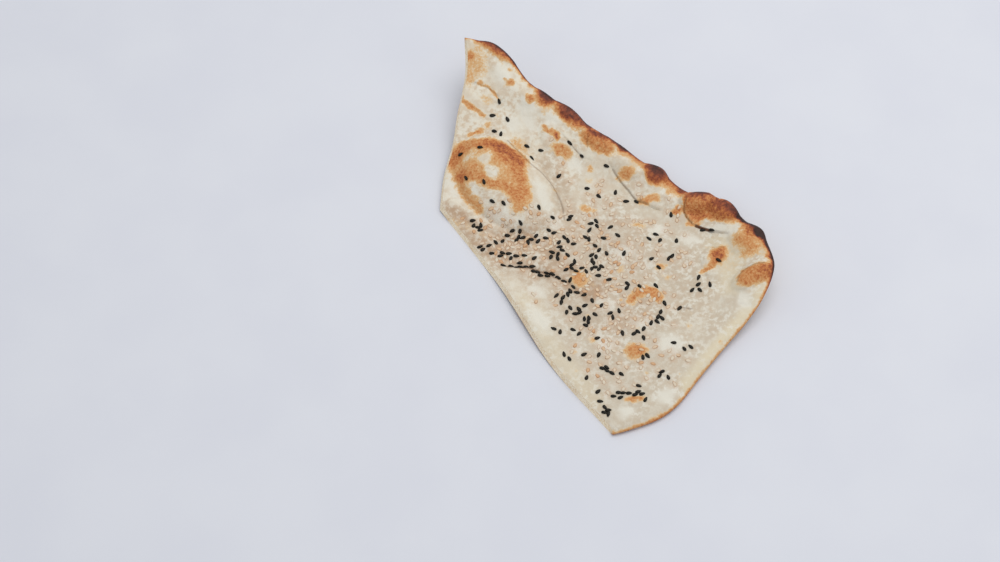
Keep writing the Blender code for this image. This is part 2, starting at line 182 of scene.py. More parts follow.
def spacedPath(path, spacing):
    # Points at an even spacing along a path, up to its last point but not on it
    travelled = np.concatenate(([0.0], np.cumsum(np.hypot(*np.diff(path, axis=0).T))))
    count = int(round(travelled[-1] / spacing))
    stops = np.arange(count) * travelled[-1] / count
    return np.column_stack([np.interp(stops, travelled, path[:, axis]) for axis in (0, 1)])


def distanceTo(path, x, y):
    # Distance to the path, the side it lies on, and how many of the path's steps along it
    nearest = np.full(x.shape, np.inf)
    side = np.zeros(x.shape)
    place = np.zeros(x.shape)
    for index, ((ax, ay), (bx, by)) in enumerate(zip(path[:-1], path[1:])):
        dx, dy = bx - ax, by - ay
        along = np.clip(((x - ax) * dx + (y - ay) * dy) / (dx * dx + dy * dy), 0.0, 1.0)
        gap = np.hypot(x - ax - along * dx, y - ay - along * dy)
        closer = gap < nearest
        nearest = np.where(closer, gap, nearest)
        side = np.where(closer, np.sign(dx * (y - ay) - dy * (x - ax)), side)
        place = np.where(closer, index + along, place)
    return nearest, side, place


def depthInside(loop, x, y):
    # How deep inside the loop each point lies, and 0 for those outside
    gap = distanceTo(np.vstack((loop, loop[:1])), x, y)[0]
    hits = np.zeros(x.shape, dtype=bool)
    for (ax, ay), (bx, by) in zip(loop, np.roll(loop, -1, axis=0)):
        if ay != by:
            hits ^= ((ay > y) != (by > y)) & (x < (bx - ax) * (y - ay) / (by - ay) + ax)
    return np.where(hits, gap, 0.0)


def turned(x, y, centreX, centreY, turn):
    # How far along and across a turned line through the centre each point lies
    angle = math.radians(turn)
    along = (x - centreX) * math.cos(angle) + (y - centreY) * math.sin(angle)
    across = (y - centreY) * math.cos(angle) - (x - centreX) * math.sin(angle)
    return along, across


def ovalReach(x, y, centreX, centreY, halfLength, halfWidth, turn):
    # How far out in a turned oval each point lies: 0 at its middle, 1 on its outline
    along, across = turned(x, y, centreX, centreY, turn)
    return np.hypot(along / halfLength, across / halfWidth)


def placed(centreX, centreY, along, across, turn):
    # The place that lies so far along and across a turned line through the centre
    angle = math.radians(turn)
    x = centreX + along * math.cos(angle) - across * math.sin(angle)
    y = centreY + along * math.sin(angle) + across * math.cos(angle)
    return x, y


def eased(value, start, reach):
    # 0 below start, 1 above start + reach, and a smooth step between
    t = np.clip((value - start) / reach, 0.0, 1.0)
    return t * t * (3 - 2 * t)


def lumps(x, y, size, offset):
    # Smooth noise from about -1 to 1 with lumps of a size, read in the noise at an offset
    return np.array([noise.noise(Vector((px / size, py / size, offset))) for px, py in zip(x, y)])


def swayed(at, sways):
    # The places moved about a little, which makes the outlines of the marks on them ragged
    x, y = at["x"], at["y"]
    for sway, size, offset in sways:
        x = x + sway * lumps(at["x"], at["y"], size, offset)
        y = y + sway * lumps(at["x"], at["y"], size, offset + 10.0)
    return x, y


def scattered(start, count, *ranges):
    # Marks that fall anywhere, each as one number drawn from each range
    draw = random.Random(start)
    return [[draw.uniform(*span) for span in ranges] for _ in range(count)]


bread = {
    "thickness": 3.3, "thicknessSwing": 0.5, "thicknessLump": 24.0, "thinnest": 1.8,
    "edgeRadius": 3.4, "edgeShare": 0.05,  # the baked edge is a round nose, this thin at its end
    "cutSlant": 1.3, "cutRounding": 0.35,  # the cut faces lean in towards the top
    "solidSpacing": 4.6,  # spacing of the outline's points in the solid model, which sets its box

    # The baked edge from the near corner to the tip, as x, y, toasting of its very edge
    "bakedEdge": (
        (0, -110.5, 0.3), (8.5, -108, 0.4), (22.5, -102.3, 0.5), (33, -94, 0.44),
        (45, -78.3, 0.4), (57.5, -62.6, 0.36), (69.3, -49.2, 0.42), (79, -36, 0.5),
        (84.6, -21.5, 0.84), (82, -6.5, 1.0), (80.2, 1, 1.0), (72.5, 10, 1.0), (66, 21, 0.76),
        (57, 29.5, 0.74), (46, 32.7, 0.72), (36, 40, 0.66), (31, 46.7, 0.76), (21, 50.8, 0.66),
        (9, 60.5, 0.84), (-5, 68.5, 0.84), (-17, 79.3, 0.92), (-29, 86.3, 0.92), (-41, 95, 0.72),
        (-49, 105.6, 0.86), (-58, 113, 0.9), (-68, 115.6, 0.6), (-75.3, 117.4, 0.35),
    ),
    "upperCut": ((-75.3, 117.4), (-75, 99), (-79.2, 78), (-81.4, 63), (-86.2, 44), (-88, 24)),
    "lowerCut": ((-88, 24), (-58.3, -20.6), (-31.3, -69.5), (0, -110.5)),

    # How far the tip and the right-hand side curl up: height, start, reach, curve
    "tipLift": (34.0, 20.0, 108.0, 1.6), "sideLift": (18.0, 38.0, 50.0, 1.7),
    "sideFade": (-20.0, 70.0),  # the side's lift fades out from here towards the near corner
    "restDepth": 0.5,  # this much of the curl's foot lies flat
    # Low swells of the whole sheet: x, y, long radius, short radius, turn, height
    "swells": (
        (-40, -44, 34, 13, -56, 3), (22, -2, 24, 15, -20, 2.2),
        (34, -66, 26, 15, 45, 2.4), (-82, 28, 13, 9, 60, 1.6),
    ),
    # Air blisters: x, y, half length, half width, turn, height, steepness of the rim
    "blisters": (
        (-53, 37, 35, 22, -46, 10.5, 1.2), (-57, 109, 12, 4.5, -34, 1.8, 1),
        (-32, 86, 7, 5, -36, 1.8, 1), (-19.5, 77.5, 10, 5.5, -38, 2.6, 1),
        (-3, 62.5, 13, 6.2, -34, 3.2, 1.1), (12, 46.5, 10, 6, -40, 2.2, 1),
        (26.5, 43.5, 8.5, 6.5, -30, 3, 1.1), (49, 25, 10.5, 7.5, -12, 5.6, 1.3),
        (62, 18, 9, 6.8, -38, 4.8, 1.3), (77, 3, 6, 4, -55, 1.8, 1),
        (70, -3, 9, 8, -60, 2, 1), (73.5, -24, 12, 7, 28, 3.4, 1.1),
        (55, -8, 9, 6, 40, 1.6, 1), (20.5, -28.5, 8.5, 5.5, 12, 1.3, 1),
        (13, -63, 7, 5, 10, 1.3, 1), (-13, -19.5, 9, 6, 15, 1.2, 1),
        (24, 28, 7, 5, 20, 1.6, 1), (-26, 62, 12, 7, -48, 1.8, 1),
        (-70, 100, 7, 9, 15, 1.6, 1), (-40, 84, 6, 5, 0, 1.2, 1),
    ),
    "blisterCrown": 0.9,  # below 1, blisters are fuller and rise more steeply from the sheet
    "cutRelief": 0.25, "cutCalm": 14.0,  # the knife pressed the relief down beside the cuts
    "rim": (2.9, 8.5, 7.5),  # puffed rim: height, how far in its crown lies, width
    "lowerRimShare": 0.35, "rimChange": (-18.0, 20.0),  # it is lower towards the near corner
    # Creases: path, depth, half width, height of the lip beside it, how far the lip reaches
    "creases": (
        (((-37, 54), (-30.5, 42), (-26, 32.5), (-23.5, 23), (-21, 14)), 0.6, 1.2, 0, 8),
        (((-84, 20), (-73, 15.5), (-65, 10.5), (-56, 5.5), (-44, 5), (-32, 7)), 0.8, 2, 0, 8),
        (((-60, -9.5), (-52, -13.5), (-40, -14), (-24, -22), (-10, -34)), 0.7, 1.1, -0.7, 9),
        (((-6, 50.5), (-11.5, 53), (-15.2, 56.6), (-19.5, 61.3), (-28, 69)), 0.3, 0.6, -0.6, 8),
        (((32, 22), (27, 23), (22, 25), (16.3, 28.8), (12.4, 34), (8, 39.5), (4.4, 45.2), (1, 53)),
         0.35, 0.6, -0.9, 8),
        (((66, 1), (58.1, 5.2), (50.6, 9.1), (45.6, 12.8), (42.4, 17), (41.2, 21), (42.5, 27)),
         0.3, 0.6, -1, 7),
    ),
    "lumps": ((19.0, 0.75), (8.5, 0.35)),  # uneven thickness all over, as size and height

    # What only the fine surface has: lumps as size and height, bubbles, specks and wrinkles
    "fineLumps": ((6.2, 0.26), (3.3, 0.13), (1.7, 0.06)),
    # Marks that fall anywhere: draw, count, ranges of x, y, radius, and height or strength
    "bubbles": (11, 260, (-88, 85), (-110, 117), (0.9, 3.2), (0.08, 0.4)),
    "specks": (5, 90, (-85, 82), (-108, 112), (0.7, 2.2), (0.06, 0.24)),
    "undersideToasts": (3, 70, (-85, 82), (-108, 112), (2.5, 8.0), (0.15, 0.6)),
    "fineCalm": 2.5,  # the fine relief fades out this close to a cut
    # Fine wrinkles: path, depth, half width
    "wrinkles": (
        (((-8.5, 65), (-9.5, 60.5), (-9, 57)), 0.35, 0.5),
        (((-5, 64.5), (-4.5, 60), (-3.5, 56.5)), 0.4, 0.5),
        (((-2.5, 63.5), (-1, 59), (1, 55.5)), 0.4, 0.5), (((1, 61), (3, 57.5), (4.5, 54.5)), 0.3, 0.5),
        (((46, 30), (45, 24), (46.5, 19)), 0.25, 0.6), (((56, 27), (54.5, 21), (53, 16.5)), 0.25, 0.6),
        (((48, -10), (50, -19), (53, -28.5)), 0.3, 0.9),
        (((41.5, -39.5), (48, -37), (55, -35)), 0.25, 0.9),
        (((-40, -30), (-37, -45), (-30, -58)), 0.3, 1.2),
        (((-30, -32), (-25, -47), (-18, -60)), 0.25, 1),
        (((-71, 92.5), (-65, 91.5), (-60, 88.5), (-55, 83)), 0.35, 0.7),
        (((-78, 84), (-72.5, 81), (-68, 78), (-62, 73)), 0.3, 0.7),
    ),
    # Toasted spots: x, y, half length, half width, turn, toasting, same at the very edge, softness
    "toasts": (
        (-59.2, 111, 11.5, 4, -33, 0.58, 0.88, 0.6), (-69.5, 103, 7, 8.5, 20, 0.27, 0, 0.7),
        (-72.3, 106.3, 2.4, 2.4, 0, 0.5, 0, 0.6), (-72.5, 96, 3, 5, 0, 0.26, 0, 0.8),
        (-51, 92.2, 3, 2, -10, 0.46, 0, 0.6), (-40, 83.4, 2.6, 2.4, 0, 0.46, 0, 0.5),
        (-32.6, 76, 1.7, 1.5, 0, 0.26, 0, 0.8), (-25.4, 63.7, 2.2, 1.7, -30, 0.56, 0, 0.7),
        (-22.7, 56.6, 5.6, 3, -25, 0.47, 0, 0.6), (-7.8, 47.1, 1.9, 1.8, 0, 0.38, 0, 0.7),
        (-8, 40.5, 2.6, 2, 0, 0.18, 0, 0.9), (-63, 84.5, 4.2, 3, -20, 0.2, 0, 0.8),
        (-62.5, 70.9, 2.1, 1.8, 0, 0.33, 0, 0.7), (-70.5, 66.2, 3.6, 1.4, 12, 0.45, 0, 0.6),
        (-66.8, 68, 2.2, 1.7, 0, 0.42, 0, 0.6), (-46, 59.5, 5.6, 3.2, -50, 0.32, 0, 0.9),
        (-58.5, 56, 6.5, 3, -10, 0.56, 0, 0.9), (11.1, 42, 5, 2.8, 5, 0.46, 0, 0.5),
        (23, 27.5, 5.8, 2.7, 4, 0.44, 0, 0.6), (38.1, 20.6, 2.7, 2.6, 15, 0.52, 0, 0.5),
        (16.8, 12.5, 4.2, 2, 0, 0.27, 0, 0.8), (27.2, -13.9, 3, 2.2, 0, 0.36, 0, 0.8),
        (30.6, -19.2, 1.8, 1.6, 0, 0.24, 0, 0.8), (6.9, -14.7, 1.9, 1.8, 0, 0.24, 0, 0.8),
        (12.8, -64, 5.6, 4.4, 8, 0.5, 0, 0.55), (-14.6, -21, 5, 4.2, -10, 0.42, 0, 0.6),
        (11.3, -92, 4.6, 2, 5, 0.44, 0, 0.6), (-9.9, 23, 4.4, 1.8, -15, 0.36, 0, 0.7),
        (-18, -64.6, 2, 1.6, 0, 0.22, 0, 0.8), (-9, -58.2, 2.6, 1.8, 20, 0.26, 0, 0.8),
        (40.4, -49.6, 1.8, 2.6, 10, 0.2, 0, 0.8), (-31, 85, 5.6, 4.2, -38, 0.72, 0.9, 0.6),
        (-33, 81.8, 5.2, 3.2, -40, 0.4, 0, 0.7), (-19.6, 76, 8.2, 4.6, -38, 0.7, 0.9, 0.6),
        (-17, 71, 6.4, 3, -38, 0.42, 0, 0.7), (-10, 69, 4.8, 2.6, -38, 0.6, 0.84, 0.6),
        (-4, 59.2, 10.4, 4.4, -30, 0.46, 0.74, 0.3), (26.2, 41.8, 7.2, 5.6, -62, 0.6, 0.84, 0.3),
        (27.5, 44.5, 4.5, 3.5, -40, 0.5, 0.6, 0.7), (39.8, 32.6, 2.3, 1.8, -30, 0.6, 0.8, 0.6),
        (47, 21.6, 8.4, 6.4, -62, 0.5, 0.84, 0.14), (60.5, 16.4, 10.5, 5.6, -28, 0.62, 0.84, 0.5),
        (51, 28.5, 7.5, 2.8, -20, 0.76, 0.85, 0.8), (79.5, -1.5, 5.4, 3, -50, 0.98, 1, 0.4),
        (75, 1.5, 6.2, 4.6, -40, 0.56, 0.8, 0.7), (70.5, -4, 6.6, 4.4, -35, 0.46, 0, 0.8),
        (74, -10.5, 4.6, 3.6, 0, 0.42, 0, 0.8), (74.4, -25.2, 9.8, 5.3, 17, 0.49, 0.66, 0.25),
        (46.5, 15, 4.6, 4.8, 0, 0.4, 0, 0.3), (57.3, -8.5, 4.4, 5.1, -25, 0.62, 0, 0.6),
        (-56.5, 42.5, 18, 11.5, -42, 0.34, 0, 0.4), (-71.5, 43.5, 6, 5, 0, 0.36, 0, 0.8),
        (-43, 55, 5, 4, -45, 0.16, 0, 0.9), (62, -14, 10, 8, -30, 0.12, 0, 0.9),
    ),
    # Toasted streaks: path, half width, toasting, same at the very edge, softness
    "streaks": (
        (((-80, 51.5), (-75.8, 57.4), (-67.8, 57.4), (-59.2, 56.3), (-52.3, 52.2), (-46, 47)),
         4.8, 0.48, 0, 0.6),
        (((-79, 54), (-79, 48), (-77.5, 42)), 4.8, 0.36, 0, 0.6),
        (((-77.5, 40), (-75.9, 33.3), (-73.5, 30.1), (-71.1, 26.9), (-67, 22)), 2.5, 0.4, 0, 0.9),
        (((-77, 40), (-69.2, 37.4), (-62.3, 34.2), (-56, 31), (-49.7, 26.8)), 3.6, 0.42, 0, 0.6),
        (((-54, 51), (-47, 44.5), (-44, 35.6), (-44.4, 27.3), (-46.5, 21.5)), 5.4, 0.46, 0, 0.6),
        (((-32.3, 68.5), (-28.6, 65.8), (-25.4, 63.7)), 1.8, 0.46, 0, 0.6),
        (((-67.9, 92.6), (-62.5, 90.6), (-56, 85.1)), 1, 0.36, 0, 0.7),
        (((-77.1, 84.1), (-72.2, 80.3), (-65.2, 75.8)), 1.5, 0.42, 0, 0.6),
        (((45, 27.5), (50, 26.5), (55.4, 24), (60.3, 20), (65.8, 15.8), (70, 14)), 3, 0.5, 0.7, 0.7),
        (((68.6, 12.3), (73.6, 8.6), (76.8, 2.8), (80.1, -1.1), (81.6, -4)), 1.9, 0.95, 1, 0.45),
        (((-7, 64.5), (0, 63), (5, 60.5), (10.5, 57)), 2.4, 0.6, 0.84, 0.7),
        (((29, 42.5), (33, 38.5), (37.5, 35), (41.5, 32)), 5, 0.42, 0.7, 0.9),
        (((9, 57), (17, 50.5), (24, 45.5)), 4.4, 0.3, 0.5, 0.9),
        (((-84, 18), (-77, 14), (-69.5, 10), (-62, 6)), 3, 0.12, 0, 0.9),
        (((56, -12.8), (52, -15), (48.8, -17.4)), 1.7, 0.42, 0, 0.7),
        (((12, -32.9), (16.2, -29.6), (21.3, -28.8), (25.6, -31.9)), 3, 0.48, 0, 0.55),
    ),
    # Pale places inside toasted ones: x, y, half length, half width, turn, share taken away
    "paleSpots": (
        (-64, 47.2, 4.4, 3.2, 0, 0.8), (-60.2, 39.2, 4.6, 3.8, -45, 0.85),
        (-57, 21.5, 8, 7, -20, 0.9), (57.5, 9, 9, 2.4, -26, 0.7), (-36, 33, 6, 14, 20, 0.9),
        (-63.6, 43.6, 8.5, 2.8, -46, 0.55), (-69.6, 33, 3.6, 2.2, -40, 0.6),
    ),
    # Smooth floury places, some of them painted light on the shaded left flank of the dome: x, y, half
    # length, half width, turn
    "flourAndLitSpots": (
        (-36, -46, 5.5, 12, 30), (-37.4, -28.7, 5, 5, 0), (30.5, -60, 8, 6.5, -15),
        (26.5, -90, 6.5, 5, 20), (-2.2, -60.5, 5.5, 5, 0), (6.6, -99.3, 6, 4, 10),
        (28.3, 9.7, 5, 4, 0), (43.7, 2.9, 6, 4, -20), (69.2, -37.6, 4, 6, 20),
        (-53.4, 15.8, 8, 4.5, -15), (-33, 27, 4, 12, 20), (-15.8, 49, 6, 4, -35), (34, 30, 5, 3, -35),
        (58, 6.5, 8, 2.5, -28), (66, 2, 5, 3, -30), (-54, 96, 5, 7, 30), (-40, 72, 6, 4, -40),
        (18, -48, 6, 4, 0), (-2, -36, 5, 5, 0), (-80, 36, 5, 10, 10), (-71, 29, 4, 5, 0),
        (-41, 79, 7, 5, -35), (-28, 73, 6, 4, -35), (-49, 72, 5, 5, 0), (9, -6, 7, 5.5, 0),
        (-27, 14, 5, 6, 20),
    ),
    # Thin dark lines of painted shade in creases, in cracks and at blister feet: path, half width,
    # darkness
    "creaseShadeLines": (
        (((4.4, 45.2), (8, 39.5), (12.4, 34), (16.3, 28.8), (22, 25)), 0.35, 0.42),
        (((-19.5, 61.3), (-15.2, 56.6), (-11.5, 53)), 0.3, 0.35),
        (((-52, 61.8), (-47, 54.5), (-40.5, 47.3), (-33, 41), (-26.2, 33.4), (-23, 25), (-22, 16)),
         0.4, 0.45),
        (((42.5, 26), (41.2, 21), (42.4, 17), (45.2, 13.2)), 0.35, 0.5),
        (((47.2, 11.4), (50.6, 9.1), (54.2, 7.2)), 0.65, 1),
        (((54.2, 7.2), (58.1, 5.2), (63, 3)), 0.6, 0.2),
        (((-54.4, -13.2), (-46, -13.8), (-39.5, -14.2), (-32.7, -17.6), (-26, -20.6)), 0.45, 0.6),
        (((65.6, -27), (68, -22.6), (73.1, -20.4), (79, -20.6)), 0.35, 0.45),
        (((-8.5, 64), (-9.3, 60.5), (-9, 57)), 0.3, 0.3),
        (((-2.5, 62.5), (-1, 59), (1, 55.5)), 0.3, 0.3), (((37.5, -37.7), (42.5, -38.9)), 0.3, 0.6),
        (((40.5, -36.4), (38.6, -39)), 0.25, 0.4),
        (((-69.5, 93.2), (-63, 91), (-56.5, 85.8)), 0.25, 0.3),
        (((55, -3.4), (60.5, -4.6)), 0.25, 0.4),
    ),
    # The seed-strewn valley, with painted shade in the valley at the dome's foot, and the paler and greyer
    # bands: path, half width, strength
    "seedBedsAndShade": (
        (((-70, 3), (-62, 0), (-53, -3), (-40, -10), (-25, -16.5), (-9.5, -28)), 7.5, 1),
        (((-85, 21), (-76, 15), (-68, 8), (-62, 1)), 5.5, 0.95),
        (((-35, 2), (-15, 3), (5, 5)), 12, 0.32), (((-56, -11), (-46, -17), (-38, -23)), 5, 0.5),
        (((-56, 2), (-46, 1), (-38, -3), (-32, -7)), 8.5, 1),
        (((-30, 50), (-24, 36), (-20, 22)), 5, 0.35), (((-20, -30), (-5, -42), (15, -45)), 12, 0.35),
        (((35, -8), (44, -26), (40, -42)), 9, 0.12),
    ),
    # Paler cream bands, partly painted light on the turned-up lower right edge and over a shaded swell
    "creamAndLitBands": (
        (((82, -30), (76.6, -39.6), (68.7, -48), (58, -60.1), (47.2, -74.2), (39.2, -83.7)), 5, 1),
        (((-41, -35), (-36, -53), (-24, -72), (-10, -92)), 6, 0.5),
        (((58, -2), (64, -12), (63, -27)), 6, 0.7),
    ),
    # Greyer bands: painted shade inside the lower right bend and beside the dome, and a broad band that
    # darkens the near half
    "shadeAndGreyBands": (
        (((66, -27.7), (61.8, -36.2), (53.5, -50.1), (45.2, -61.8), (37, -73.5)), 7, 1),
        (((-30, 50), (-24, 38), (-22, 24)), 5, 0.6),
        (((-15, 50), (0, 40), (15, 30)), 7, 0.4),
        (((20, -10), (5, -60), (5, -105)), 48, 1),
    ),
    # Raggedness of the outlines of marks: sway, its size, and where in the noise it is read
    "toastSway": ((1.2, 6.0, 31.0), (1.4, 2.4, 37.0)),
    "flourAndLightSway": ((2.0, 6.0, 71.0),), "undersideSway": ((2.5, 9.0, 33.0),),
    "markOverlap": 0.25,  # share of the weaker mark that is added where two overlap
    "veryEdge": 3.0,  # how far in the toasting of the very edge reaches
    "charLine": 0.6, "charGlow": (0.6, 3.6),  # width of the charred line, share and width beside it
    "cutCrust": (0.42, 1.1),  # how toasted the rims of the cuts are, and how far in
    "seedHalo": 2.2,  # how far round a pale seed the dough is browner

    # The mesh: spacing of its points, and how far in the rings of points beside its edge lie
    "topSpacing": 0.85, "undersideSpacing": 2.0, "outlineSpacing": 0.85,
    "topRings": (0.12, 0.4, 0.85, 1.45, 2.2), "undersideRings": (0.15, 0.5, 1.1, 2.0),
    "creaseSpacing": 0.7, "creaseRows": (-0.95, -0.4, 0.0, 0.4, 0.95),  # rows along a crease
    "cutRows": (0.05, 0.2, 0.36, 0.52, 0.68, 0.84, 0.95),  # rows of points up a cut face
    "crumbDepth": 0.16,  # how far the torn crumb of a cut face goes in and out
    "sharpAngle": 50,  # the shading breaks at bends above this many degrees
}


pathSteps, creaseSteps = 6, 4
bakedPath = pathSamples(bread["bakedEdge"], pathSteps)
cutPaths = [pathSamples(bread[name], pathSteps) for name in ("upperCut", "lowerCut")]
edgePaths = (bakedPath, *cutPaths)
solidOutline = np.vstack([spacedPath(path, bread["solidSpacing"]) for path in edgePaths])
fineOutline = np.vstack([spacedPath(path, bread["outlineSpacing"]) for path in edgePaths])
solidMiddle = (solidOutline.min(axis=0) + solidOutline.max(axis=0)) / 2
boxMiddle = np.array([(low + high) / 2 / mm for low, high in zip(solidLow, solidHigh)][:2])
toFrame = boxMiddle - solidMiddle  # from the places in the dictionaries to the frame


def undersideHeight(x, y):
    # The curl of the sheet, with its foot flat on the ground
    height, start, reach, curve = bread["tipLift"]
    tip = height * np.clip((y - start) / reach, 0, 1) ** curve
    height, start, reach, curve = bread["sideLift"]
    fadeStart, fadeReach = bread["sideFade"]
    fade = np.clip(1 - (fadeStart - y) / fadeReach, 0, 1)
    lift = tip + height * np.clip((x - start) / reach, 0, 1) ** curve * fade - bread["restDepth"]
    for cx, cy, longRadius, shortRadius, turn, rise in bread["swells"]:
        along, across = turned(x, y, cx, cy, turn)
        lift = lift + rise * np.exp(-(along / longRadius) ** 2 - (across / shortRadius) ** 2)
    return np.maximum(lift, 0.0)


def relief(x, y, edgeDistance, cutDistance):
    # Blisters, rim, creases and lumps above the plain sheet
    upper = eased(y, *bread["rimChange"])
    rimShare = bread["lowerRimShare"] + (1 - bread["lowerRimShare"]) * upper
    rimHeight, rimCrown, rimWidth = bread["rim"]
    height = rimHeight * rimShare * np.exp(-((edgeDistance - rimCrown) / rimWidth) ** 2)
    for *oval, rise, steepness in bread["blisters"]:
        dome = np.clip(1 - ovalReach(x, y, *oval) ** (2 * steepness), 0, 1)
        height = height + rise * dome ** bread["blisterCrown"]
    calm = eased(cutDistance, 0.0, bread["cutCalm"])
    height = height * (bread["cutRelief"] + (1 - bread["cutRelief"]) * calm)
    for points, depth, halfWidth, lip, lipReach in bread["creases"]:
        path = pathSamples(points, creaseSteps)
        distance, side, place = distanceTo(path, x, y)
        share = eased(np.minimum(place, len(path) - 1 - place), 0.0, creaseSteps)  # fades at its ends
        height = height - share * depth * np.exp(-(distance / halfWidth) ** 2)
        height = height + share * abs(lip) * (side * lip > 0) * np.exp(-distance / lipReach)
    for number, (size, rise) in enumerate(bread["lumps"]):
        height = height + rise * lumps(x, y, size, 10.0 * number)
    return height


def fineRelief(x, y):
    # Small lumps, air bubbles and wrinkles, which are too fine for the solid model
    height = np.zeros(x.shape)
    for number, (size, rise) in enumerate(bread["fineLumps"]):
        height = height + rise * lumps(x, y, size, 70.0 + 10.0 * number)
    for cx, cy, radius, rise in scattered(*bread["bubbles"]):
        height = height + rise * np.clip(1 - ((x - cx) ** 2 + (y - cy) ** 2) / radius ** 2, 0, 1)
    for points, depth, halfWidth in bread["wrinkles"]:
        distance = distanceTo(pathSamples(points, creaseSteps), x, y)[0]
        height = height - depth * np.exp(-(distance / halfWidth) ** 2)
    return height


def surface(points):
    # Heights of the underside and top at each point, and how far it lies from the edges
    x, y = points[:, 0], points[:, 1]
    edgeDistance, _, edgePlace = distanceTo(bakedPath, x, y)
    cutDistance = np.min([distanceTo(path, x, y)[0] for path in cutPaths], axis=0)
    low = undersideHeight(x, y)
    depth = bread["thickness"] + bread["thicknessSwing"] * lumps(x, y, bread["thicknessLump"], 50.0)
    depth = np.maximum(depth + relief(x, y, edgeDistance, cutDistance), bread["thinnest"])
    depth = depth - bread["cutRounding"] * np.clip(1 - cutDistance / (2 * bread["cutSlant"]), 0, 1)
    depth = depth + fineRelief(x, y) * eased(cutDistance, 0.0, bread["fineCalm"])
    fullness = np.sqrt(1 - (1 - np.clip(edgeDistance / bread["edgeRadius"], 0, 1)) ** 2)
    fullness = np.maximum(fullness, bread["edgeShare"])
    return {
        "x": x, "y": y, "low": low + depth * (1 - fullness) / 2, "top": low + depth * (1 + fullness) / 2,
        "edge": edgeDistance, "edgePlace": edgePlace / pathSteps, "cut": cutDistance,
    }


def inward(loop):
    # The direction into the loop at each of its points, as it runs anticlockwise
    along = np.roll(loop, -1, axis=0) - np.roll(loop, 1, axis=0)
    along = along / np.hypot(*along.T)[:, None]
    return np.column_stack((-along[:, 1], along[:, 0]))


def linePoints(points):
    # Rows of points along a crease, so that it stays crisp in the mesh
    path = spacedPath(pathSamples(points, creaseSteps), bread["creaseSpacing"])
    along = np.gradient(path, axis=0)
    across = np.column_stack((-along[:, 1], along[:, 0])) / np.hypot(*along.T)[:, None]
    return np.vstack([path + offset * across for offset in bread["creaseRows"]])


def placeTree(places):
    tree = kdtree.KDTree(len(places))
    for index, (x, y) in enumerate(places):
        tree.insert((x, y, 0), index)
    tree.balance()
    return tree


def thinned(points, clearance):
    # The points without those that lie too close to an earlier one
    kept = []
    tree = placeTree(points)
    for index, (x, y) in enumerate(points):
        if min(other for _, other, _ in tree.find_range((x, y, 0), clearance)) == index:
            kept.append(index)
    return points[kept]


def filling(loop, rings, spacing, extra):
    # Points inside a loop: rings beside its edge, the extra points, and an even grid
    kept = [loop + depth * inward(loop) for depth in rings]
    kept = [ring[depthInside(loop, *ring.T) > 0.8 * depth] for ring, depth in zip(kept, rings)]
    rowStep = spacing * math.sqrt(0.75)
    low, high = loop.min(axis=0), loop.max(axis=0)
    rows = int((high[1] - low[1]) / rowStep) + 1
    columns = int((high[0] - low[0]) / spacing) + 2
    column, row = np.meshgrid(np.arange(columns), np.arange(rows))
    grid = np.column_stack((
        (low[0] + spacing * (column - 0.5 * (row % 2))).ravel(), (low[1] + rowStep * row).ravel(),
    ))
    inner = np.vstack((*extra, grid))
    inner = inner[depthInside(solidOutline, *inner.T) > rings[-1] + 0.6 * spacing]
    return np.vstack((*kept, thinned(inner, 0.45 * spacing)))


def faceTriangles(loop, rings, spacing, extra):
    # The points and triangles of a face with this edge
    points = [Vector(p) for p in np.vstack((loop, filling(loop, rings, spacing, extra)))]
    edges = [(i, (i + 1) % len(loop)) for i in range(len(loop))]
    found = geometry.delaunay_2d_cdt(points, edges, [list(range(len(loop)))], 1, 1e-5)
    return np.array([tuple(p) for p in found[0]]), found[2]


def strokes(marks, x, y, softness):
    # How strongly the nearest of some broad bands covers each point
    cover = np.zeros(x.shape)
    for points, halfWidth, strength in marks:
        distance = distanceTo(pathSamples(points, creaseSteps), x, y)[0]
        cover = np.maximum(cover, strength * (1 - eased(distance / halfWidth, 1 - softness, 2 * softness)))
    return cover


def spotCover(spots, x, y):
    # How strongly the nearest of some soft round places covers each point
    cover = np.zeros(x.shape)
    for oval in spots:
        cover = np.maximum(cover, 1 - eased(ovalReach(x, y, *oval), 0.3, 1.0))
    return cover


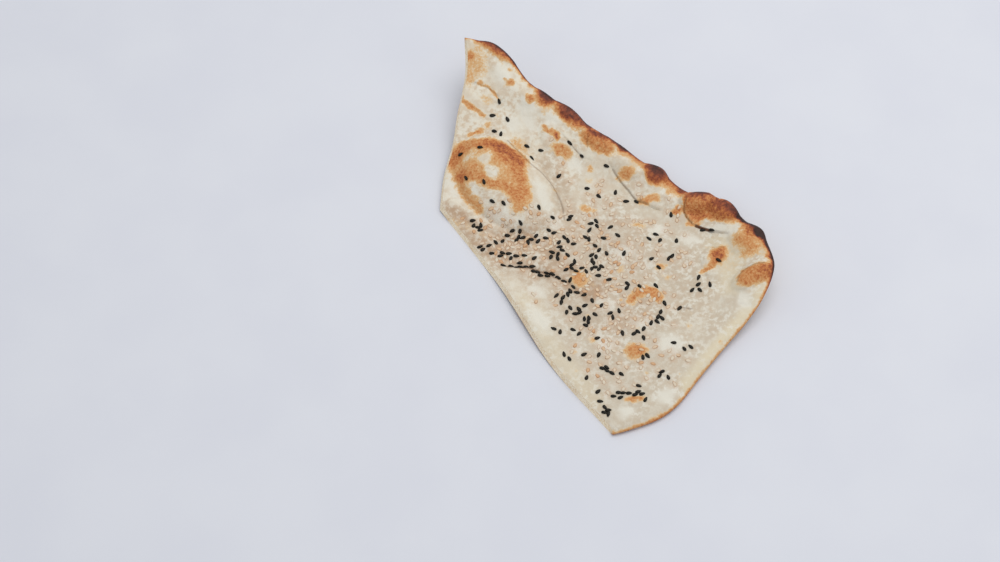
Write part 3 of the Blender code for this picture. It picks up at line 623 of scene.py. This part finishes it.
def toasting(at):
    # How dark the top is baked at each point: 0 pale, 0.5 orange-brown, 1 charred
    x, y = swayed(at, bread["toastSway"])
    veryEdge = np.exp(-at["edge"] / bread["veryEdge"])
    reaches = [(ovalReach(x, y, *toast[:5]), toast[5:]) for toast in bread["toasts"]]
    for points, halfWidth, *look in bread["streaks"]:
        reaches.append((distanceTo(pathSamples(points, creaseSteps), x, y)[0] / halfWidth, look))
    level = np.zeros(x.shape)
    for reach, (strength, edgeStrength, softness) in reaches:
        toasted = strength + np.maximum(edgeStrength - strength, 0.0) * veryEdge
        toasted = toasted * (1 - eased(reach, 1 - softness, 2 * softness))
        level = np.maximum(level, toasted) + bread["markOverlap"] * np.minimum(level, toasted)
    for *oval, share in bread["paleSpots"]:
        level = level * (1 - share * (1 - eased(ovalReach(x, y, *oval), 0.4, 0.8)))
    for cx, cy, radius, strength in scattered(*bread["specks"]):
        reach = np.hypot(at["x"] - cx, at["y"] - cy) / radius
        level = level + (1 - level) * strength * (1 - eased(reach, 0.1, 1.2))
    tones = [tone for _, _, tone in bread["bakedEdge"]]
    tone = np.interp(at["edgePlace"], np.arange(len(tones)), tones)
    ragged = at["edge"] * (1 + 0.6 * lumps(at["x"], at["y"], 3.5, 90.0))
    glowShare, glowWidth = bread["charGlow"]
    char = tone * np.exp(-(ragged / (bread["charLine"] + tone)) ** 2)
    char = char + glowShare * tone ** 3 * np.exp(-(ragged / glowWidth) ** 2)
    level = 1 - (1 - level) * (1 - np.clip(char, 0, 1))
    crustShare, crustWidth = bread["cutCrust"]
    patchy = 0.5 + 1.1 * lumps(at["x"], at["y"], 9.0, 55.0)
    crust = crustShare * patchy * np.exp(-(at["cut"] / crustWidth) ** 2)
    return np.clip(level + (1 - level) * np.clip(crust, 0, 1), 0, 1)


def seedHalo(at, places):
    # The dough round a pale seed is a little browner
    tree = placeTree(places)
    gap = np.array([tree.find((x, y, 0))[2] for x, y in zip(at["x"], at["y"])])
    return np.exp(-(gap / bread["seedHalo"]) ** 2)


def breadFields(at, paleCentres):
    # What the bread's colour is worked out from, at each point of the top
    x, y = at["x"], at["y"]
    patchy = 1 + 0.8 * lumps(x, y, 12.0, 61.0)
    return {
        "toast": toasting(at),
        # thin lines of painted shade in the creases and cracks
        "line": strokes(bread["creaseShadeLines"], x, y, 0.6),
        # seed beds: browner where seeds lie, and painted shade in the valley at the dome's foot
        "seedBed": strokes(bread["seedBedsAndShade"], x, y, 0.5) * patchy,
        "halo": seedHalo(at, paleCentres),
        # cream bands, partly painted light on the turned-up edge and a shaded swell
        "cream": strokes(bread["creamAndLitBands"], x, y, 0.6),
        # painted shade from the grey bands, and a broad darker band over the near half
        "grey": strokes(bread["shadeAndGreyBands"], x, y, 0.7),
        # flour, and painted light on the dome's shaded left flank
        "flour": spotCover(bread["flourAndLitSpots"], *swayed(at, bread["flourAndLightSway"])),
    }


def undersideFields(at):
    # Brown patches where the underside touched the oven
    x, y = swayed(at, bread["undersideSway"])
    untoasted = np.full(x.shape, 0.9)  # it is a little toasted all over
    for cx, cy, radius, strength in scattered(*bread["undersideToasts"]):
        untoasted = untoasted * (1 - strength * (1 - eased(np.hypot(x - cx, y - cy) / radius, 0.3, 0.9)))
    edge = 0.5 * np.exp(-(at["edge"] / bread["veryEdge"]) ** 2)
    return {"toast": 1 - untoasted * (1 - edge)}


def inFrame(points):
    # From millimetres in the dictionaries' places to metres in the frame, kept inside the solid's box
    moved = (np.asarray(points, dtype=float) + (*toFrame, 0.0)) * mm
    return np.clip(moved, np.array(solidLow), np.array(solidHigh))


def makeBread(paleCentres):
    outlineEdge = distanceTo(bakedPath, *fineOutline.T)[0]
    slant = bread["cutSlant"] * eased(outlineEdge, 0.0, bread["edgeRadius"])
    topLoop = fineOutline + slant[:, None] * inward(fineOutline)
    paths = [entry[0] for name in ("creases", "wrinkles", "creaseShadeLines") for entry in bread[name]]
    creasePoints = [linePoints(path) for path in paths]
    topPoints, topFaces = faceTriangles(
        topLoop, bread["topRings"], bread["topSpacing"], creasePoints)
    lowPoints, lowFaces = faceTriangles(
        fineOutline, bread["undersideRings"], bread["undersideSpacing"], [])
    print("bread: %d points on the top, %d on the underside" % (len(topPoints), len(lowPoints)))

    top, low = surface(topPoints), surface(lowPoints)
    count = len(fineOutline)
    topRim = np.column_stack((topPoints[:count], top["top"][:count]))
    lowRim = np.column_stack((lowPoints[:count], low["low"][:count]))
    outward = np.column_stack((-inward(fineOutline), np.zeros(count)))
    cutShare = slant / bread["cutSlant"]
    rows = []
    for share in bread["cutRows"]:
        row = lowRim + share * (topRim - lowRim)
        crumb = lumps(row[:, 0] + row[:, 1], 3 * row[:, 2], 1.1, 20.0) - 0.6
        rows.append(row + (bread["crumbDepth"] * crumb * cutShare)[:, None] * outward)
    points = np.vstack((
        np.column_stack((topPoints, top["top"])), np.column_stack((lowPoints, low["low"])), *rows))
    lowStart, rowStart = len(topPoints), len(topPoints) + len(lowPoints)
    faces = [tuple(face) for face in topFaces]
    faces += [tuple(lowStart + i for i in reversed(face)) for face in lowFaces]
    starts = [lowStart, *[rowStart + count * number for number in range(len(rows))], 0]
    for below, above in zip(starts, starts[1:]):
        for i in range(count):
            j = (i + 1) % count
            faces.append((below + i, below + j, above + j, above + i))

    topFields, lowFields = breadFields(top, paleCentres), undersideFields(low)
    sideToast = np.concatenate([
        topFields["toast"][:count] * (1 - cutShare) + 0.1 * cutShare for share in bread["cutRows"]])
    fields = {
        name: np.concatenate((values, np.zeros(len(lowPoints) + len(rows) * count)))
        for name, values in topFields.items()
    }
    fields["toast"] = np.concatenate((topFields["toast"], lowFields["toast"], sideToast))
    fields["cutFace"] = np.concatenate((np.zeros(rowStart), np.tile(cutShare, len(rows))))
    fields["underside"] = np.concatenate((
        np.zeros(lowStart), np.ones(len(lowPoints)), np.zeros(len(rows) * count)))
    piece = newPiece("bread", inFrame(points), faces, fields, breadMaterial())
    piece.data.set_sharp_from_angle(angle=math.radians(bread["sharpAngle"]))
    return piece


breadLooks = {
    "colours": {
        "dough": (225, 217, 199), "broadPatches": (219, 211, 193),
        "middlingPatches": (209, 194, 172), "smallPatches": (203, 181, 155),
        "freckles": (170, 140, 110), "flour": (225, 221, 208), "grey": (193, 181, 162),
        "cream": (219, 207, 179), "seedBed": (174, 145, 117), "seedHalo": (198, 156, 122),
        "underside": (206, 186, 152), "creaseShade": (96, 60, 38),
        # the crumb colours are painted paler than the crumb: painted light on the cut faces
        "crumb": (228, 204, 166), "crumbPores": (250, 238, 214), "crumbPatches": (214, 172, 122),
    },
    # From barely baked to charred: how toasted, colour
    "baking": (
        (0.0, (222, 208, 184)), (0.16, (220, 194, 154)), (0.30, (212, 170, 120)),
        (0.45, (203, 145, 91)), (0.58, (188, 115, 62)), (0.72, (150, 78, 48)),
        (0.86, (100, 50, 36)), (0.98, (54, 31, 25)),
    ),
    "roughness": 0.8, "toastedShine": 0.22,  # toasted places are less rough, by up to this much
    "specular": 0.3, "bump": 0.6, "bumpHeight": 0.45,
}


def breadMaterial():
    material, shader, make = newMaterial("baked bread")
    colours = {name: paint(colour) for name, colour in breadLooks["colours"].items()}
    toast, cutFace, underside = (make.attribute(name) for name in ("toast", "cutFace", "underside"))
    broad = make.grain(26.0, 2.0).stepped(0.35, 0.65)
    middling = make.grain(7.0, 3.0).stepped(0.36, 0.66)
    small = make.grain(2.6, 3.0, 0.6)
    fine = make.grain(1.2, 3.0, 0.6)
    tiny = make.grain(0.5, 2.0)
    uneven = make.grain(17.0, 2.0).stepped(0.38, 0.62) * 0.7 + 0.3  # smooth here and blotchy there

    # seed beds, partly painted shade in the valley below the dome
    bedAndShade = (make.attribute("seedBed") * (0.5 + small.stepped(0.3, 0.7) * 0.5)).held()
    # floury places, partly painted light on the dome's shaded left flank
    flouryAndLit = (make.attribute("flour") + small.stepped(0.5, 0.39) * uneven * 0.8).held()
    coats = (  # one over another, each as its colour and how strongly it covers
        ("middlingPatches", middling * 0.75),
        ("smallPatches", small.stepped(0.48, 0.62) * uneven * 0.8),
        # the cream bands are partly painted light
        # the grey bands lay painted shade over the dough
        ("grey", make.attribute("grey") * 0.6), ("cream", make.attribute("cream") * 0.8),
        ("seedBed", bedAndShade * 0.85), ("flour", flouryAndLit * (0.85 - bedAndShade * 0.4)),
        ("seedHalo", make.attribute("halo") * (fine.stepped(0.35, 0.6) * 0.5)),
        ("underside", underside * 0.5), ("freckles", tiny.stepped(0.55, 0.8) * 0.16),
    )
    dough = broad.blend(colours["dough"], colours["broadPatches"])
    for name, cover in coats:
        dough = cover.blend(dough, colours[name])

    speckle = (fine - 0.5) * 3.0 + (small - 0.5) * 1.3 + (tiny - 0.5) * 1.2
    grainy = (toast + speckle * (toast * (0.98 - toast)).held()).held()
    stops = [(level, paint(stop)) for level, stop in breadLooks["baking"]]
    baked = make.node("ShaderNodeValToRGB", {"stops": stops}, {"Fac": grainy})
    colour = grainy.stepped(0.04, 0.28).blend(dough, baked)
    # painted shade: thin dark lines in the creases and cracks
    colour = make.attribute("line").blend(colour, colours["creaseShade"])

    # The crumb is painted paler than it is: painted light on the cut faces, which turn away from the lamp
    pores = make.grain(0.7, 3.0, 0.6).stepped(0.36, 0.58)
    crumb = pores.blend(colours["crumb"], colours["crumbPores"])
    crumb = (make.grain(6.0, 2.0).stepped(0.5, 0.7) * 0.3).blend(crumb, colours["crumbPatches"])
    colour = (cutFace * (1 - toast.stepped(0.3, 0.6))).blend(colour, crumb)
    plug(shader, {
        "Base Color": colour, "Roughness": breadLooks["roughness"] - toast * breadLooks["toastedShine"],
        "Normal": make.bump(fine * 0.5 + tiny * 0.25 + small * 1.1, breadLooks),
        "Specular IOR Level": breadLooks["specular"],
    })
    return material


blackSeeds = {
    "size": (3.3, 1.8, 1.3), "draw": 33,
    # Seeds that lie alone: x, y, heading
    "lone": (
        (-56.5, 83.5, 105), (-60, 76, 5), (-52, 74, 115), (-59, 67.5, -15), (-55.5, 66, 80),
        (-41.5, 59.5, -30), (-66.5, 54, -15), (-77, 53.5, 10), (-74, 38, 120), (-64.5, 34, 105),
        (-34, 57, -10), (-39, 51.5, -50), (-60, 23.5, -35), (-54, 21.5, -55), (-35.5, 19.5, -65),
        (-18.5, 60, -50), (-12, 53.5, -50), (1, 47.5, -25), (-24.5, 42.5, 40), (-9.5, 35.5, -10),
        (-3.5, 30.5, -40), (5.5, 33, 80), (11, 27.5, 5), (16.5, 27.5, -45), (34.5, 19, 90),
        (36.5, 2.5, 80), (57.5, -12, -30), (52.5, -25, 95), (-6.5, -56.5, 20), (-12.5, -79.5, 70),
        (13.5, -84.5, -20), (-7, -87.5, 40), (16.5, -92.5, 60),
    ),
    # Where the others fell: x, y, long spread, short spread, turn, count
    "shakes": (
        (-67, 11, 2.6, 1.4, -45, 5), (-58, 4, 3, 2, 0, 2), (-50, 8, 3, 2, 30, 4),
        (-46, 4, 3, 2, 0, 3), (-36, 6, 5, 2, 60, 4), (-28, 8, 3, 4, 0, 4),
        (-66, -1, 2.4, 0.8, 20, 3), (-55, -5, 5, 0.8, -6, 6), (-46, -8, 4, 1.5, 0, 3),
        (-48, -13.5, 4.5, 0.6, -3, 6), (-33, -18, 6, 0.7, -18, 8), (-27, -10, 3, 2, -45, 3),
        (-24, -2, 3, 2, 0, 5), (-20, 2, 3, 2, 0, 3), (-19, -14, 3, 2, -60, 6),
        (-19, 17, 1.6, 0.6, 35, 2), (-3, 16, 5, 1.5, 5, 3), (-2, 7, 6, 3, 0, 6),
        (0, -3, 5, 2, 0, 4), (-9, -7, 4, 2, 20, 4), (-8, -15, 6, 1.5, 10, 5),
        (-4, -20, 4, 2, 0, 2), (-16, -27, 4, 2, -35, 6), (-24, -34, 3, 3, 0, 5),
        (-16, -41, 5, 3, 0, 4), (-12.5, -45, 2.2, 1.8, -50, 5), (-6, -40, 4, 1.2, -45, 3),
        (6, -40, 4, 2, 0, 2), (-20, -54, 3, 3, 0, 4), (18, 5, 5, 2, 0, 3),
        (33, -7, 2, 0.8, 60, 2), (16, -12, 7, 6, 0, 3), (14, -26, 5, 1, 0, 3),
        (46, -27, 3.4, 1.4, 90, 4), (25, -38, 5, 5, 0, 5), (50.5, 9, 3, 0.4, -25, 2),
        (23.5, -45.5, 2.5, 0.6, 55, 3), (15, -54.5, 4, 2, 0, 4), (-18, -68, 6, 1.5, -5, 4),
        (19, -66, 3, 1, 20, 2), (39, -62, 5, 2.5, -45, 3), (-1.5, -75.5, 3, 0.8, -25, 5),
        (27, -79, 2.5, 1.2, -40, 3), (6, -89, 4.5, 0.8, 6, 8), (-3.5, -97.5, 2.2, 1.5, -50, 5),
    ),
    "narrowRow": 1.0, "rowSwing": 16.0,  # seeds of a narrow row turn along it, within some degrees
    "gap": 2.0, "margin": 3.2,  # between seeds, and from the outline of the bread
    "proud": 0.18, "taper": 0.45, "sizeSwing": 0.08, "tilt": 9.0,
    "sides": 12, "rings": 9,
    # a greyer colour for a painted sheen on each seed's middle, and for wear in its pits
    "skin": (21, 19, 14), "worn": (70, 60, 48), "pitSize": 0.35,
    "roughness": 0.46, "specular": 0.22, "bump": 0.5, "bumpHeight": 0.1,
}


paleSeeds = {
    "size": (3.1, 1.8, 1.1),
    "shakes": ((-25, 0, 24, 7, -22, 4), (0, -36, 18, 16, 0, 4)),
    # The finer sprinkle round them, which lies closer together
    "fineDraw": 7, "fineGap": 1.9, "fineSize": (3.1, 1.8, 0.6),
    "fineShakes": (
        (-30, -1, 22, 8, -24, 72), (-8, 2, 18, 10, 0, 50), (-52, 0, 12, 5, -30, 28),
        (-5, -24, 16, 11, -10, 45), (0, -46, 17, 13, 0, 42), (26, -16, 14, 14, 0, 24),
        (-8, 30, 17, 11, -35, 24), (12, -72, 14, 11, 0, 28), (20, 14, 11, 8, 0, 12),
    ),
    "proud": 0.0, "taper": 0.45,
    "kernel": (215, 203, 182), "peach": (212, 182, 148), "rim": (174, 128, 92),
    "toasted": (196, 146, 102), "ribSize": 0.5,
    "roughness": 0.6, "specular": 0.25, "bump": 0.4, "bumpHeight": 0.1,
}


def seedPlaces(draw, shakes, taken, gap):
    # Place and heading of each seed, clear of the edge and of the seeds before it
    places = []
    for cx, cy, longSpread, shortSpread, turn, count in shakes:
        wanted = len(places) + count
        while len(places) < wanted:
            x, y = placed(cx, cy, draw.gauss(0, longSpread), draw.gauss(0, shortSpread), turn)
            crowded = any(math.hypot(x - px, y - py) < gap for px, py, _ in taken)
            inside = depthInside(solidOutline, np.array([x]), np.array([y]))[0]
            if crowded or inside < blackSeeds["margin"]:
                continue
            swing = blackSeeds["rowSwing"] if shortSpread < blackSeeds["narrowRow"] else 180.0
            place = (x, y, turn + draw.uniform(-swing, swing))
            taken.append(place)
            places.append(place)
    return places


def seedPoses(draw, size, places):
    # Each seed's place and heading, with its own size and tilt
    swing, tilt = blackSeeds["sizeSwing"], blackSeeds["tilt"]
    poses = []
    for place in places:
        shares = [1 + draw.uniform(-swing, swing) for _ in range(3)]
        ownSize = [length * share for length, share in zip(size, shares)]
        poses.append((place, ownSize, draw.uniform(-tilt, tilt)))
    return poses


def dropSeeds():
    # The same places as in the solid model, and then the finer sprinkle
    draw = random.Random(blackSeeds["draw"])
    taken = list(blackSeeds["lone"])
    black = list(blackSeeds["lone"]) + seedPlaces(draw, blackSeeds["shakes"], taken, blackSeeds["gap"])
    pale = seedPlaces(draw, paleSeeds["shakes"], taken, blackSeeds["gap"])
    black = seedPoses(draw, blackSeeds["size"], black)
    pale = seedPoses(draw, paleSeeds["size"], pale)
    draw = random.Random(paleSeeds["fineDraw"])
    fine = seedPlaces(draw, paleSeeds["fineShakes"], taken, paleSeeds["fineGap"])
    return black, pale + seedPoses(draw, paleSeeds["fineSize"], fine)


def seedShape(taper):
    # One seed of unit size along X, blunter at one end, with how near each point is to its middle
    shape = bmesh.new()
    bmesh.ops.create_uvsphere(
        shape, u_segments=blackSeeds["sides"], v_segments=blackSeeds["rings"], radius=0.5)
    bmesh.ops.rotate(shape, verts=shape.verts[:], matrix=Matrix.Rotation(math.pi / 2, 3, "Y"))
    points = np.array([v.co for v in shape.verts])
    faces = [[v.index for v in face.verts] for face in shape.faces]
    shape.free()
    middle = np.clip(1 - np.hypot(points[:, 0], points[:, 1]) / 0.5, 0, 1)
    points[:, 1:] *= (1 - taper * points[:, :1]) * (1 - 0.25 * np.clip(points[:, :1] * 2, 0, 1) ** 3)
    return points, faces, middle


def makeSeeds(name, settings, poses, tree, material):
    # All the seeds of one kind as one mesh, each lying on the bread
    shape, shapeFaces, middle = seedShape(settings["taper"])
    draw = random.Random(len(poses))
    points, faces, tones = [], [], []
    for (x, y, turn), size, tilt in poses:
        above = Vector(((x + toFrame[0]) * mm, (y + toFrame[1]) * mm, 1.0))
        point, normal, _, _ = tree.ray_cast(above, Vector((0, 0, -1)))
        centre = point + normal * settings["proud"] * size[2] * mm
        matrix = (
            Matrix.Translation(centre) @ Vector((0, 0, 1)).rotation_difference(normal).to_matrix().to_4x4()
            @ Matrix.Rotation(math.radians(turn), 4, "Z") @ Matrix.Rotation(math.radians(tilt), 4, "Y")
            @ Matrix.Diagonal([length * mm for length in size] + [1])
        )
        start = len(points) * len(shape)
        matrix = np.array(matrix)
        points.append(shape @ matrix[:3, :3].T + matrix[:3, 3])
        faces += [[start + i for i in face] for face in shapeFaces]
        tones.append(draw.random())
    fields = {"tone": np.repeat(tones, len(shape)), "middle": np.tile(middle, len(poses))}
    print("%s: %d seeds, %d faces" % (name, len(poses), len(faces)))
    return newPiece(name, np.vstack(points), faces, fields, material)


def blackSeedMaterial():
    material, shader, make = newMaterial("black seed skin")
    tone, middle = make.attribute("tone"), make.attribute("middle")
    pitted = make.grain(blackSeeds["pitSize"], 3.0, 0.7)
    # A painted sheen: the middle of each seed is painted greyer, and its pits are worn greyer too
    worn = (middle.stepped(0.25, 0.95) * tone * 0.5 + pitted.stepped(0.55, 0.8) * 0.2).held()
    plug(shader, {
        "Base Color": worn.blend(paint(blackSeeds["skin"]), paint(blackSeeds["worn"])),
        "Roughness": blackSeeds["roughness"] + pitted * 0.2,
        "Normal": make.bump(pitted, blackSeeds), "Specular IOR Level": blackSeeds["specular"],
    })
    return material


def paleSeedMaterial():
    # Most seeds are nearly as pale as the dough with a thin brown outline, and a few are toasted
    material, shader, make = newMaterial("pale seed husk")
    tone, middle = make.attribute("tone"), make.attribute("middle")
    ribbed = make.grain(paleSeeds["ribSize"], 2.0)
    colour = tone.stepped(0.3, 0.9).blend(paint(paleSeeds["kernel"]), paint(paleSeeds["peach"]))
    rim = (1 - middle.stepped(0.05, 0.4)) * (0.5 + tone * 0.45)
    colour = (rim + (ribbed - 0.5) * 0.2).held().blend(colour, paint(paleSeeds["rim"]))
    colour = (tone.stepped(0.86, 1.0) * 0.6).blend(colour, paint(paleSeeds["toasted"]))
    plug(shader, {
        "Base Color": colour, "Roughness": paleSeeds["roughness"] + ribbed * 0.15,
        "Normal": make.bump(ribbed, paleSeeds), "Specular IOR Level": paleSeeds["specular"],
    })
    return material


floor = {
    "size": 6.0, "colour": (214, 216, 224), "cloudColour": (217, 219, 226), "cloudSize": 60.0,
    "roughness": 0.8, "specular": 0.2,
}


def makeFloor():
    bpy.ops.mesh.primitive_plane_add(size=floor["size"])
    plane = bpy.context.object
    plane.name = "floor"
    material, shader, make = newMaterial("pale floor")
    cloudy = make.grain(floor["cloudSize"], 3.0).stepped(0.3, 0.7)
    plug(shader, {
        "Base Color": cloudy.blend(paint(floor["colour"]), paint(floor["cloudColour"])),
        "Roughness": floor["roughness"], "Specular IOR Level": floor["specular"],
    })
    plane.data.materials.append(material)


studio = {
    "sky": (0.95, 0.97, 1.0), "skyStrength": 0.64,
    "lampPower": 8.8, "lampSize": 1.1, "lampPlace": (0.28, 0.25, 1.25), "lampColour": (1.0, 0.985, 0.96),
}


def lightStudio():
    world = bpy.data.worlds.new("soft studio")
    world.use_nodes = True
    sky = world.node_tree.nodes["Background"]
    sky.inputs["Color"].default_value = (*studio["sky"], 1.0)
    sky.inputs["Strength"].default_value = studio["skyStrength"]
    bpy.context.scene.world = world
    lamp = bpy.data.lights.new("overhead lamp", "AREA")
    lamp.energy, lamp.size, lamp.color = studio["lampPower"], studio["lampSize"], studio["lampColour"]
    lampObject = addObject("overhead lamp", lamp)
    lampObject.location = studio["lampPlace"]
    lampObject.rotation_euler = Vector(studio["lampPlace"]).to_track_quat("Z", "Y").to_euler()
    bpy.context.scene.view_settings.view_transform = "Standard"


view = {
    "lens": 70.0, "sensor": 36.0, "elevation": 58.0, "distance": 1.011,
    "target": (-0.05431, -0.02345, 0.0),
}


def placeCamera():
    camera = bpy.data.cameras.new("camera")
    camera.lens, camera.sensor_width = view["lens"], view["sensor"]
    cameraObject = addObject("camera", camera)
    elevation = math.radians(view["elevation"])
    away = Vector((0, -math.cos(elevation), math.sin(elevation)))
    cameraObject.location = Vector(view["target"]) + view["distance"] * away
    cameraObject.rotation_euler = (math.pi / 2 - elevation, 0, 0)
    bpy.context.scene.camera = cameraObject


placeCamera()
lightStudio()
makeFloor()
print("stage: floor, light and camera are in place")

blackPoses, palePoses = dropSeeds()
print("seeds: %d black and %d pale ones have fallen" % (len(blackPoses), len(palePoses)))

loaf = makeBread([place[:2] for place, *_ in palePoses])
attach(loaf, "root")
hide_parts("naan")
print("bread: made, %d faces" % len(loaf.data.polygons))

breadTree = BVHTree.FromPolygons(
    [v.co for v in loaf.data.vertices], [face.vertices for face in loaf.data.polygons])
seedKinds = (
    ("blackSeeds", blackSeeds, blackPoses, blackSeedMaterial(), "black_seed"),
    ("paleSeeds", paleSeeds, palePoses, paleSeedMaterial(), "pale_seed"),
)
for name, settings, poses, material, slotName in seedKinds:
    seeds = makeSeeds(name, settings, poses, breadTree, material)
    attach(seeds, "root")

print("done: every piece is on its body")
